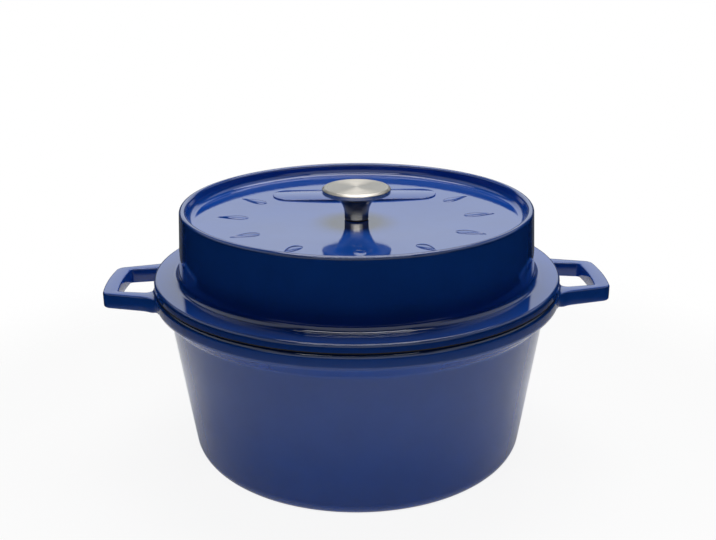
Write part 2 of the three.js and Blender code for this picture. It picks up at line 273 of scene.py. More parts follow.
class OvenStudio(bpy.types.PropertyGroup):
    """Floor, lamps and camera"""

    floor_radius: length("Floor", "Radius of the pale floor", 0.44)
    floor_clear: length("Floor clear", "Where the floor starts to fade into the background", 0.28)
    lamp_height: length("Lamp height", "Softbox over the object", 1.25)
    lamp_back: length("Lamp back", "Softbox behind the middle of the pot", 0.42)
    lamp_aside: length("Lamp aside", "Softbox to the right of the middle of the pot", 0.08)
    lamp_size: length("Lamp size", "Side of the softbox", 0.9)
    lamp_power: power("Lamp power", "Softbox", 11.5)
    strip_front: length("Strip front", "Strip card in front of the middle of the pot", 0.34)
    strip_width: length("Strip width", "Narrow side of the strip card", 0.16)
    strip_power: power("Strip power", "Strip card", 3.7)
    panel_distance: length("Panel distance", "Low panel for the knob, behind the camera", 1.5)
    panel_height: length("Panel height", "Middle of the low panel above the floor", 0.42)
    panel_width: length("Panel width", "Long side of the low panel", 1.6)
    panel_depth: length("Panel depth", "Narrow side of the low panel", 0.25)
    panel_power: power("Panel power", "Low panel", 4.2)
    table_front: length("Table front", "Lamp over the floor, in front of the middle of the pot", 0.56)
    table_height: length("Table height", "Lamp over the floor", 0.42)
    table_depth: length("Table depth", "Narrow side of the lamp over the floor", 0.25)
    table_power: power("Table power", "Lamp over the floor", 2.5)
    paper: colour("Paper", "Floor", "#F3F3F3")
    cool: colour("Cool white", "Walls and strip card, as gloss and metal mirror them", "#F4FAFF")
    camera_distance: length("Camera distance", "In front of the middle of the pot", 0.655)
    camera_height: length("Camera height", "Above the floor", 0.353)
    camera_aside: length("Camera aside", "To the right of the middle of the pot", 0.8 * MM)
    camera_turn: slope("Camera turn", "Round the pot, towards the left handle", 1.5)
    camera_pitch: slope("Camera pitch", "Down from level", 19.13)
    camera_roll: slope("Camera roll", "Clockwise", 0.3)
    lens: FloatProperty(name="Lens", description="Focal length", default=50.12, unit="CAMERA")


def add_node(tree, kind, inputs=(), **settings):
    """Adds a node, sets its settings, and links or sets its inputs by name or number."""
    node = tree.nodes.new(kind)
    for name, value in settings.items():
        setattr(node, name, value)
    for name, value in dict(inputs).items():
        if isinstance(value, bpy.types.NodeSocket):
            tree.links.new(value, node.inputs[name])
        else:
            node.inputs[name].default_value = value
    return node


def solid(shade, share=1.0):
    """A colour for a socket: a share of a linear shade, with nothing see-through."""
    return (*[c * share for c in shade], 1)


def new_material(name, **shader_inputs):
    """A material with one Principled shader, its tree, and the shader with its inputs set."""
    material = bpy.data.materials.new(name)
    material.use_nodes = True
    shader = material.node_tree.nodes["Principled BSDF"]
    for key, value in shader_inputs.items():
        shader.inputs[key.replace("_", " ").title().replace("Ior", "IOR")].default_value = value
    return material, material.node_tree, shader


def enamel(name, glaze, thin):
    """Vitreous enamel fired on cast iron: a deep glassy gloss with a slow ripple.

    It pools unevenly and is darker where it is thin. A clear cover coat lies on the colour, so a surface
    seen at a low angle turns pale with what it mirrors.
    """
    material, tree, shader = new_material(
        name, roughness=0.06, ior=1.42, coat_weight=0.6, coat_roughness=0.06, coat_ior=1.42
    )
    place = add_node(tree, "ShaderNodeTexCoord").outputs["Object"]
    pooled = add_node(tree, "ShaderNodeTexNoise", {"Vector": place, "Scale": 1 / (30 * MM), "Detail": 3})
    depth = add_node(tree, "ShaderNodeMapRange", {
        "Value": pooled.outputs["Fac"], "From Min": 0.3, "From Max": 0.7, "To Min": 0.0, "To Max": 0.12,
    })
    thinned = add_node(tree, "ShaderNodeAttribute", attribute_name="thin_glaze")
    worn = add_node(tree, "ShaderNodeMath", {
        0: thinned.outputs["Fac"], 1: THIN_SHARE, 2: depth.outputs["Result"],
    }, operation="MULTIPLY_ADD", use_clamp=True)
    tint = add_node(tree, "ShaderNodeMix", {
        "Factor": worn.outputs[0], MIX_A: solid(glaze), MIX_B: solid(thin),
    }, data_type="RGBA")
    ripple = add_node(tree, "ShaderNodeTexNoise", {"Vector": place, "Scale": 1 / (11 * MM), "Detail": 1})
    bump = add_node(tree, "ShaderNodeBump", {
        "Height": ripple.outputs["Fac"], "Strength": 0.12, "Distance": 0.25 * MM,
    })
    tree.links.new(tint.outputs[MIX_RESULT], shader.inputs["Base Color"])
    tree.links.new(bump.outputs["Normal"], shader.inputs["Normal"])
    return material


def bare_iron(shade):
    """Bare cast iron, ground and oiled black: dull, with the grain of the sand mould."""
    material, tree, shader = new_material("bare_cast_iron", metallic=0.6)
    place = add_node(tree, "ShaderNodeTexCoord").outputs["Object"]
    grain = add_node(tree, "ShaderNodeTexNoise", {"Vector": place, "Scale": 1 / (1.6 * MM), "Detail": 5})
    tone = add_node(tree, "ShaderNodeMix", {
        "Factor": grain.outputs["Fac"], MIX_A: solid(shade, 0.6), MIX_B: solid(shade, 1.5),
    }, data_type="RGBA")
    dull = add_node(tree, "ShaderNodeMapRange", {
        "Value": grain.outputs["Fac"], "To Min": 0.45, "To Max": 0.75,
    })
    bump = add_node(tree, "ShaderNodeBump", {
        "Height": grain.outputs["Fac"], "Strength": 0.4, "Distance": 0.2 * MM,
    })
    tree.links.new(tone.outputs[MIX_RESULT], shader.inputs["Base Color"])
    tree.links.new(dull.outputs["Result"], shader.inputs["Roughness"])
    tree.links.new(bump.outputs["Normal"], shader.inputs["Normal"])
    return material


def turned_metal(name, shade, groove, roughness):
    """Metal turned on a lathe: fine rings round the axis spread each highlight across them.

    What faces up is brushed, and the sides and undersides are smoother.
    """
    material, tree, shader = new_material(
        name, metallic=1.0, anisotropic=0.7, anisotropic_rotation=0.25
    )
    place = add_node(tree, "ShaderNodeTexCoord").outputs["Object"]
    apart = add_node(tree, "ShaderNodeSeparateXYZ", {"Vector": place})
    flat = add_node(tree, "ShaderNodeCombineXYZ", {"X": apart.outputs["X"], "Y": apart.outputs["Y"]})
    reach = add_node(tree, "ShaderNodeVectorMath", {0: flat.outputs["Vector"]}, operation="LENGTH")
    across = add_node(tree, "ShaderNodeCombineXYZ", {
        "X": reach.outputs["Value"], "Y": apart.outputs["Z"],
    })
    rings = add_node(tree, "ShaderNodeTexNoise", {
        "Vector": across.outputs["Vector"], "Scale": 1 / groove, "Detail": 2,
    })
    facing = add_node(tree, "ShaderNodeSeparateXYZ", {
        "Vector": add_node(tree, "ShaderNodeNewGeometry").outputs["Normal"],
    })
    brushed = add_node(tree, "ShaderNodeMapRange", {
        "Value": facing.outputs["Z"], "From Min": 0.0, "From Max": 0.6, "To Min": 0.6, "To Max": 1.0,
    })
    uneven = add_node(tree, "ShaderNodeMapRange", {
        "Value": rings.outputs["Fac"], "From Min": 0.3, "From Max": 0.7,
        "To Min": roughness * 0.8, "To Max": roughness * 1.25,
    })
    satin = add_node(tree, "ShaderNodeMath", {
        0: uneven.outputs["Result"], 1: brushed.outputs["Result"],
    }, operation="MULTIPLY")
    tone = add_node(tree, "ShaderNodeMix", {
        "Factor": rings.outputs["Fac"], MIX_A: solid(shade, 0.9), MIX_B: solid(shade),
    }, data_type="RGBA")
    bump = add_node(tree, "ShaderNodeBump", {
        "Height": rings.outputs["Fac"], "Strength": 0.15, "Distance": 0.05 * MM,
    })
    round_axis = add_node(tree, "ShaderNodeTangent", direction_type="RADIAL", axis="Z")
    tree.links.new(round_axis.outputs["Tangent"], shader.inputs["Tangent"])
    tree.links.new(tone.outputs[MIX_RESULT], shader.inputs["Base Color"])
    tree.links.new(satin.outputs[0], shader.inputs["Roughness"])
    tree.links.new(bump.outputs["Normal"], shader.inputs["Normal"])
    return material


def silicone(shade):
    """Moulded silicone rubber: soft and matt, with a faint mould texture."""
    material, tree, shader = new_material("moulded_silicone", ior=1.41)
    place = add_node(tree, "ShaderNodeTexCoord").outputs["Object"]
    bloom = add_node(tree, "ShaderNodeTexNoise", {"Vector": place, "Scale": 1 / (1.2 * MM), "Detail": 3})
    tone = add_node(tree, "ShaderNodeMix", {
        "Factor": bloom.outputs["Fac"], MIX_A: solid(shade), MIX_B: solid(shade, 1.6),
    }, data_type="RGBA")
    dull = add_node(tree, "ShaderNodeMapRange", {
        "Value": bloom.outputs["Fac"], "To Min": 0.55, "To Max": 0.75,
    })
    tree.links.new(tone.outputs[MIX_RESULT], shader.inputs["Base Color"])
    tree.links.new(dull.outputs["Result"], shader.inputs["Roughness"])
    return material


def shown_rays(tree):
    """One on a ray from the camera, also by way of metal, gloss or glass, and nought on any other."""
    path = add_node(tree, "ShaderNodeLightPath").outputs
    through = add_node(tree, "ShaderNodeMath", {
        0: path["Is Glossy Ray"], 1: path["Is Transmission Ray"],
    }, operation="MAXIMUM")
    shown = add_node(tree, "ShaderNodeMath", {
        0: path["Is Camera Ray"], 1: through.outputs[0],
    }, operation="MAXIMUM")
    return shown.outputs[0]


def studio_paper(shade, clear, edge):
    """White studio paper that keeps the object's shadow and fades into the background further out."""
    material, tree, shader = new_material("studio_paper", roughness=0.9, base_color=solid(shade))
    white = add_node(tree, "ShaderNodeEmission", {"Color": (1, 1, 1, 1), "Strength": 1})
    direct = add_node(tree, "ShaderNodeLightPath").outputs["Is Camera Ray"]
    seen = add_node(tree, "ShaderNodeMapRange", {
        "Value": direct, "To Min": PAPER_MIRRORED, "To Max": PAPER_SEEN,
    })
    lifted = add_node(tree, "ShaderNodeMath", {
        0: shown_rays(tree), 1: seen.outputs["Result"],
    }, operation="MULTIPLY")
    paper = add_node(tree, "ShaderNodeMixShader", {
        0: lifted.outputs[0], 1: shader.outputs["BSDF"], 2: white.outputs["Emission"],
    })
    place = add_node(tree, "ShaderNodeTexCoord").outputs["Object"]
    reach = add_node(tree, "ShaderNodeVectorMath", {0: place}, operation="LENGTH")
    fade = add_node(tree, "ShaderNodeMapRange", {
        "Value": reach.outputs["Value"], "From Min": clear, "From Max": edge,
    }, interpolation_type="SMOOTHSTEP")
    gone = add_node(tree, "ShaderNodeBsdfTransparent")
    mixed = add_node(tree, "ShaderNodeMixShader", {
        0: fade.outputs["Result"], 1: paper.outputs["Shader"], 2: gone.outputs["BSDF"],
    })
    tree.links.new(mixed.outputs["Shader"], tree.nodes["Material Output"].inputs["Surface"])
    return material


def finishes(context):
    """The three finishes of a casting, made once and shared: blue outside, bare seat, cream inside."""
    shades = context.scene.oven_finish
    ready = bpy.data.materials.get
    return [
        ready("blue_enamel") or enamel("blue_enamel", shades.enamel, shades.enamel_thin),
        ready("bare_cast_iron") or bare_iron(shades.iron),
        ready("cream_enamel") or enamel("cream_enamel", shades.cream, shades.cream_thin),
    ]


def corner_arc(before, corner, after, rounding):
    """Points of the arc that rounds one corner of an outline, and whether the corner stands proud."""
    back, ahead = (before - corner).normalized(), (after - corner).normalized()
    half = back.angle(ahead) / 2
    centre = corner + (back + ahead).normalized() * rounding / math.sin(half)
    start = corner + back * rounding / math.tan(half) - centre
    turn = math.pi - 2 * half
    proud = back.cross(ahead) < 0
    steps = max(2, math.ceil(turn / ARC_STEP), math.ceil(turn * rounding / ARC_LENGTH))
    sweep = turn if proud else -turn
    return [centre + Matrix.Rotation(sweep * i / steps, 2) @ start for i in range(steps + 1)], proud


def rounded_outline(corners):
    """Points of an outline from corners of (radius, height, rounding, finish of the next stretch).

    Each point is (radius, height, finish, thinness of the glaze): glaze draws thin over a proud edge.
    """
    points = []
    for i, (radius, height, rounding, finish) in enumerate(corners):
        corner = Vector((radius, height))
        if not rounding:
            points.append((radius, height, finish, 0.0))
            continue
        before = Vector(corners[i - 1][:2])
        after = Vector(corners[(i + 1) % len(corners)][:2])
        bend, proud = corner_arc(before, corner, after, rounding)
        edge = proud and rounding < THIN_ROUNDING
        starts_thin = edge and (before - corner).length < THIN_SIDE
        ends_thin = edge and (after - corner).length < THIN_SIDE
        finish_before = corners[i - 1][3]
        first, *middle, last = bend
        points.append((*first, finish_before, float(starts_thin)))
        points += [(*point, finish_before, float(edge)) for point in middle]
        points.append((*last, finish, float(ends_thin)))
    return points


def mesh_piece(name, vertices, faces, materials, slots=None, thin=None):
    """A smooth mesh object whose faces may take different materials, with its glaze thin in places."""
    mesh = bpy.data.meshes.new(name)
    mesh.from_pydata(vertices, [], faces)
    for material in materials:
        mesh.materials.append(material)
    mesh.polygons.foreach_set("use_smooth", [True] * len(faces))
    if slots:
        mesh.polygons.foreach_set("material_index", slots)
    glaze = mesh.attributes.new("thin_glaze", "FLOAT", "POINT")
    glaze.data.foreach_set("value", thin or [0.0] * len(vertices))
    mesh.set_sharp_from_angle(angle=SHARP_ANGLE)
    piece = bpy.data.objects.new(name, mesh)
    bpy.context.scene.collection.objects.link(piece)
    return piece


def turned(name, corners, sides, materials):
    """A piece turned about the upright axis.

    Its outline starts and ends on the axis, or closes on itself.
    """
    outline = rounded_outline(corners)
    vertices, thin, rings = [], [], []
    for radius, height, finish, glaze in outline:
        count = sides if radius > 0 else 1
        rings.append(range(len(vertices), len(vertices) + count))
        for k in range(count):
            turn = 2 * math.pi * k / count
            vertices.append((radius * math.cos(turn), radius * math.sin(turn), height))
            thin.append(glaze)
    faces, slots = [], []
    stretches = len(rings) if outline[0][0] > 0 else len(rings) - 1
    for i in range(stretches):
        low, high = rings[i], rings[(i + 1) % len(rings)]
        for k in range(sides):
            a, b = low[k % len(low)], low[(k + 1) % sides % len(low)]
            c, d = high[(k + 1) % sides % len(high)], high[k % len(high)]
            # On the axis a ring is one point, so a face there has three corners
            faces.append(tuple(dict.fromkeys((a, b, c, d))))
            slots.append(outline[i][2])
    piece = mesh_piece(name, vertices, faces, materials, slots, thin)
    piece.modifiers.new("flat_faces_stay_flat", "WEIGHTED_NORMAL").keep_sharp = True
    return piece


def arc(centre, radius, start, end):
    """Points along an arc in plan, from one angle to another."""
    steps = [start + (end - start) * i / PATH_STEPS for i in range(PATH_STEPS + 1)]
    return [Vector((centre[0] + radius * math.cos(t), centre[1] + radius * math.sin(t))) for t in steps]


def side_fillet(x, half_width, slant, offset, circle):
    """Centre of an arc between one side of an arm, on the front, and a circle round the pot.

    The side leaves the bar at a point and slants out towards the rim. The centre lies an offset outside
    the side, and on the circle.
    """
    along = Vector((-math.cos(slant), -math.sin(slant)))
    start = Vector((x + offset * math.sin(slant), -half_width - offset * math.cos(slant)))
    nearest = start.dot(along)
    return start + along * (-nearest - math.sqrt(nearest ** 2 - start.length_squared + circle ** 2))


def handle_side(pot, x, half_width, slant, corner, root):
    """Points in plan along one side of the front half of a handle, from the rim to the bar's middle.

    The root's fillet is outside the side if its radius is positive, and inside if it is negative.
    """
    quarter = math.pi / 2
    turn = side_fillet(x, half_width, slant, -corner, x - corner)
    foot = side_fillet(x, half_width, slant, root, pot.rim_radius + abs(root))
    turn_angle = math.atan2(turn.y, turn.x)
    foot_angle = math.pi + math.atan2(foot.y, foot.x)
    points = arc(foot, abs(root), foot_angle, (quarter if root > 0 else 3 * quarter) + slant)
    points += arc(turn, corner, slant - quarter, turn_angle)
    return points + arc((0, 0), x, turn_angle, 0)


def handle_sides(pot, sizes):
    """Points in plan along the outside and the inside of the front half of a handle."""
    inner = sizes.reach - sizes.bar
    half_loop = sizes.half_width + sizes.bar * math.tan(sizes.arm_slant) - sizes.arm
    outside = handle_side(
        pot, sizes.reach, sizes.half_width, sizes.arm_slant, sizes.corner, sizes.arm_root
    )
    inside = handle_side(
        pot, inner, half_loop, sizes.loop_slant, sizes.loop_corner, -sizes.loop_root
    )
    return outside, inside


def handle_section(inner, outer, low, high, edge):
    """One section across a handle: a box with rounded edges between its inner and outer side."""
    along = (outer - inner).normalized()
    width = (outer - inner).length
    ring = []
    for corner, (across, up) in enumerate(((1, -1), (1, 1), (-1, 1), (-1, -1))):
        middle_across = width - edge if across > 0 else edge
        middle_up = high - edge if up > 0 else low + edge
        for k in range(EDGE_STEPS + 1):
            turn = math.pi / 2 * (corner - 1 + k / EDGE_STEPS)
            p = inner + along * (middle_across + edge * math.cos(turn))
            ring.append((p.x, p.y, middle_up + edge * math.sin(turn)))
    return ring


def blend_into_rim(point, pot, sizes, middle):
    """Draws a point of an arm up and down into the rim, as the fillets of a casting do."""
    x, y, z = point
    away = max(0.0, math.hypot(x, y) - pot.rim_radius)
    if z > middle:
        short = max(0.0, sizes.top_fillet - away)
        return x, y, z + sizes.top_fillet - math.sqrt(sizes.top_fillet ** 2 - short ** 2)
    return x, y, z + sizes.root_lift * max(0.0, 1 - away / sizes.root_run) ** 2


def handle(name, turn, pot, sizes, materials):
    """A loop handle, swept from one root round the bar to the other, with both ends inside the rim."""
    outside, inside = handle_sides(pot, sizes)
    plug = 1 - sizes.plug / pot.rim_radius
    outside.insert(0, outside[0] * plug)
    inside.insert(0, inside[0] * plug)
    mirror = Vector((1, -1))
    outside += [p * mirror for p in reversed(outside[:-1])]
    inside += [p * mirror for p in reversed(inside[:-1])]
    high = pot.height - sizes.drop
    low = high - sizes.thickness
    place = Matrix.Rotation(turn, 3, "Z")
    vertices = []
    for inner, outer in zip(inside, outside):
        for point in handle_section(inner, outer, low, high, sizes.edge):
            vertices.append(place @ Vector(blend_into_rim(point, pot, sizes, (low + high) / 2)))
    count = 4 * (EDGE_STEPS + 1)
    faces = [tuple(reversed(range(count))), tuple(range(len(vertices) - count, len(vertices)))]
    for i in range(len(inside) - 1):
        for k in range(count):
            a, b = i * count + k, i * count + (k + 1) % count
            faces.append((a, b, b + count, a + count))
    return mesh_piece(name, vertices, faces, materials)


def raised_pad(outline_at, levels):
    """Vertices and faces of a low closed pad: an outline, drawn in by an inset at each level."""
    rings = [
        [(*outline_at(inset, k), height) for k in range(RELIEF_SIDES)] for inset, height in levels
    ]
    faces = [tuple(reversed(range(RELIEF_SIDES)))]
    for i in range(len(rings) - 1):
        for k in range(RELIEF_SIDES):
            a, b = i * RELIEF_SIDES + k, i * RELIEF_SIDES + (k + 1) % RELIEF_SIDES
            faces.append((a, b, b + RELIEF_SIDES, a + RELIEF_SIDES))
    last = (len(rings) - 1) * RELIEF_SIDES
    faces.append(tuple(range(last, last + RELIEF_SIDES)))
    return [Vector(v) for ring in rings for v in ring], faces


def plate_outline(plate_length, plate_width):
    """A bar with round ends, as a function of the inset and the step round it."""
    half = (plate_length - plate_width) / 2

    def at(inset, step):
        turn = 2 * math.pi * (step + 0.5) / RELIEF_SIDES
        radius = plate_width / 2 - inset
        return math.copysign(half, math.cos(turn)) + radius * math.cos(turn), radius * math.sin(turn)
    return at


def drop_outline(drop_length, drop_width):
    """A drop with one pointed end, as a function of the inset and the step round it."""
    def at(inset, step):
        turn = 2 * math.pi * step / RELIEF_SIDES
        share = 1 - 2 * inset / drop_width
        x = math.cos(turn)
        y = math.sin(turn) * math.sin(turn / 2) ** DROP_POINT / DROP_WIDEST
        return x * share * drop_length / 2, y * share * drop_width / 2
    return at


def lid_wall(lid, rise):
    """Radius of the outside of the lid's wall, some way above the flange."""
    return lid.flange_radius - lid.ledge - rise * math.tan(lid.draft)


def recess_radius(lid):
    """Radius of the foot of the recess's wall."""
    rise = LID_HIGH.z - LID_LOW.z - lid.lip - lid.flange
    return lid_wall(lid, rise) - lid.rim_width - lid.recess * math.tan(lid.recess_draft)


def dish_rise(lid, radius):
    """Height of the recess's floor above its level middle."""
    slant = math.atan2(lid.dish, recess_radius(lid) - lid.dish_radius)
    tangent = lid.dish_rounding * math.tan(slant / 2)
    past = radius - lid.dish_radius
    if past > tangent:
        return past * math.tan(slant)
    return max(0.0, past + tangent) ** 2 / (2 * lid.dish_rounding)


def settle(piece, body, slot, *nodes):
    """The piece moves with a body and stands for CAD nodes, which are hidden. The slot it is given is
    not used.
    """
    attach(piece, body)
    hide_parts(*nodes)


class DUTCHOVEN_OT_pot(bpy.types.Operator):
    """Turn the pot's bowl, blue outside and cream inside, with a bare seat on its rim"""

    bl_idname = "dutch_oven.pot"
    bl_label = "Pot"
    bl_options = {"REGISTER", "UNDO"}

    def execute(self, context):
        pot = context.scene.oven_pot
        foot = pot.height - pot.rim_face
        shoulder = foot - pot.rim_flare
        body_radius = pot.rim_radius - pot.rim_overhang
        inner_rim = pot.rim_radius - pot.seat_width
        thickness = pot.wall / math.cos(pot.taper)

        def wall(level):
            return body_radius - (shoulder - level) * math.tan(pot.taper)

        piece = turned("pot_bowl", [
            (0, 0, 0, OUTSIDE),
            (wall(0), 0, pot.base_rounding, OUTSIDE),
            (body_radius, shoulder, pot.shoulder_rounding, OUTSIDE),
            (pot.rim_radius, foot, pot.foot_rounding, OUTSIDE),
            (pot.rim_radius, pot.height, pot.rim_edge, SEAT),
            (inner_rim, pot.height, pot.rim_rounding, INSIDE),
            (inner_rim, pot.height - pot.seat_depth, pot.rim_rounding, INSIDE),
            (wall(shoulder) - thickness, shoulder, pot.shoulder_rounding, INSIDE),
            (wall(pot.floor) - thickness, pot.floor, pot.inner_rounding, INSIDE),
            (0, pot.floor, 0, INSIDE),
        ], CASTING_SIDES, finishes(context))
        settle(piece, "pot", "pot_enamel", "pot_body")
        return {"FINISHED"}


class DUTCHOVEN_OT_handles(bpy.types.Operator):
    """Sweep the two loop handles that are cast on to the pot's rim"""

    bl_idname = "dutch_oven.handles"
    bl_label = "Handles"
    bl_options = {"REGISTER", "UNDO"}

    def execute(self, context):
        pot, sizes = context.scene.oven_pot, context.scene.oven_handles
        for name, turn in (("right_handle", 0.0), ("left_handle", math.pi)):
            piece = handle(name, turn, pot, sizes, finishes(context)[:1])
            settle(piece, "pot", "pot_enamel", "pot_body")
        return {"FINISHED"}


class DUTCHOVEN_OT_lid(bpy.types.Operator):
    """Turn the lid: flange, tall wall, and a top recessed inside a raised rim"""

    bl_idname = "dutch_oven.lid"
    bl_label = "Lid"
    bl_options = {"REGISTER", "UNDO"}

    def execute(self, context):
        pot, lid = context.scene.oven_pot, context.scene.oven_lid
        seat = LID_LOW.z + lid.lip
        flange_top = seat + lid.flange
        rim_top = LID_HIGH.z
        recess = rim_top - lid.recess - lid.dish
        ceiling = recess - lid.top
        ceiling_edge = ceiling + lid.dish
        lip_radius = pot.rim_radius - pot.seat_width - lid.lip_clearance

        def wall(level):
            return lid_wall(lid, level - flange_top)

        piece = turned("lid_casting", [
            (lip_radius, seat - lid.lip, lid.lip_rounding, INSIDE),
            (lip_radius, seat, 0, SEAT),
            (lid.flange_radius, seat, lid.flange_foot, OUTSIDE),
            (lid.flange_radius, flange_top, lid.flange_rounding, OUTSIDE),
            (wall(flange_top), flange_top, lid.flange_fillet, OUTSIDE),
            (wall(rim_top), rim_top, lid.rim_rounding, OUTSIDE),
            (wall(rim_top) - lid.rim_width, rim_top, lid.rim_rounding, OUTSIDE),
            (recess_radius(lid), recess + lid.dish, lid.recess_fillet, OUTSIDE),
            (lid.dish_radius, recess, lid.dish_rounding, OUTSIDE),
            (lid.hole_radius, recess, 0, OUTSIDE),
            (lid.hole_radius, ceiling, 0, INSIDE),
            (lid.dish_radius, ceiling, lid.dish_rounding, INSIDE),
            (wall(ceiling_edge) - lid.wall, ceiling_edge, lid.hollow_fillet, INSIDE),
            (wall(flange_top) - lid.wall, flange_top, lid.flange_fillet, INSIDE),
            (lip_radius - lid.lip_thickness, seat, lid.flange_fillet, INSIDE),
            (lip_radius - lid.lip_thickness, seat - lid.lip, lid.lip_rounding, INSIDE),
        ], CASTING_SIDES, finishes(context))
        settle(piece, "lid", "lid_enamel", "lid")
        return {"FINISHED"}


class DUTCHOVEN_OT_relief(bpy.types.Operator):
    """Raise a bare plate and a garland of plain drops in the lid's recess"""

    bl_idname = "dutch_oven.relief"
    bl_label = "Lid relief"
    bl_options = {"REGISTER", "UNDO"}

    def execute(self, context):
        relief, lid = context.scene.oven_relief, context.scene.oven_lid
        floor = LID_HIGH.z - lid.recess - lid.dish
        high = relief.height
        foot = (0, -RELIEF_SUNK)
        edge = [(inset * high, height * high) for inset, height in PLATE_EDGE]
        outline = plate_outline(relief.plate_length, relief.plate_width)
        points, faces = raised_pad(outline, [foot, *edge])
        vertices = [p + Vector((0, relief.plate_back, floor)) for p in points]
        half = relief.drop_width / 2
        dome = [(half * (1 - math.cos(t)), high * math.sin(t)) for t in DOME_STEPS]
        outline = drop_outline(relief.drop_length, relief.drop_width)
        points, drop_faces = raised_pad(outline, [foot, *dome])
        plate_front = relief.plate_back - relief.plate_width / 2
        for i in range(relief.drops):
            turn = 2 * math.pi * i / relief.drops
            if relief.ring_radius * math.sin(turn) > plate_front:
                continue
            place = Matrix.Rotation(turn, 4, "Z") @ Matrix.Translation((relief.ring_radius, 0, floor))
            faces += [[v + len(vertices) for v in face] for face in drop_faces]
            vertices += [place @ p for p in points]
        for vertex in vertices:
            vertex.z += dish_rise(lid, vertex.xy.length)
        piece = mesh_piece("lid_relief", vertices, faces, finishes(context)[:1])
        settle(piece, "lid", "lid_enamel", "lid")
        return {"FINISHED"}


class DUTCHOVEN_OT_knob(bpy.types.Operator):
    """Turn the mushroom knob and the gasket under its foot"""

    bl_idname = "dutch_oven.knob"
    bl_label = "Knob"
    bl_options = {"REGISTER", "UNDO"}

    def execute(self, context):
        knob, shades = context.scene.oven_knob, context.scene.oven_finish
        foot, top = KNOB_LOW.z, KNOB_HIGH.z
        edge_top = top - knob.crown
        edge_foot = edge_top - knob.edge
        # Turning marks of about 0.1 mm are too fine for the picture, so they are drawn at 0.5 mm
        nickel = turned_metal("satin_nickel", shades.nickel, groove=0.5 * MM, roughness=0.34)
        piece = turned("knob_turning", [
            (0, foot + knob.hole_depth, 0, OUTSIDE),
            (knob.hole_radius, foot + knob.hole_depth, 0, OUTSIDE),
            (knob.hole_radius, foot, 0, OUTSIDE),
            (knob.stem_radius, foot, knob.rounding, OUTSIDE),
            (knob.stem_radius, edge_foot - knob.dish, knob.stem_fillet, OUTSIDE),
            (knob.radius, edge_foot, knob.rounding, OUTSIDE),
            (knob.radius, edge_top, knob.rounding, OUTSIDE),
            (knob.radius - knob.bevel, top, knob.rounding, OUTSIDE),
            (0, top, 0, OUTSIDE),
        ], KNOB_SIDES, [nickel])
        settle(piece, "lid", "knob_metal", "knob")
        radius = GASKET_HIGH.y
        gasket = turned("gasket_ring", [
            (knob.hole_radius, GASKET_LOW.z, 0, OUTSIDE),
            (radius, GASKET_LOW.z, knob.gasket_rounding, OUTSIDE),
            (radius, GASKET_HIGH.z, knob.gasket_rounding, OUTSIDE),
            (knob.hole_radius, GASKET_HIGH.z, 0, OUTSIDE),
        ], KNOB_SIDES, [silicone(shades.silicone)])
        settle(gasket, "lid", "gasket_silicone", "knob_gasket")
        return {"FINISHED"}


class DUTCHOVEN_OT_fasteners(bpy.types.Operator):
    """Finish the screw and the two washers under the lid in bright steel"""

    bl_idname = "dutch_oven.fasteners"
    bl_label = "Fasteners"
    bl_options = {"REGISTER", "UNDO"}

    def execute(self, context):
        shades = context.scene.oven_finish
        # Turning marks of about 0.1 mm are drawn at 0.4 mm so that they show
        steel = turned_metal("bright_steel", shades.steel, groove=0.4 * MM, roughness=0.3)
        for name in ("knob_screw", "flat_washer", "lock_washer"):
            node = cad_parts[name]
            node.data.materials.clear()
            node.data.materials.append(steel)
        return {"FINISHED"}


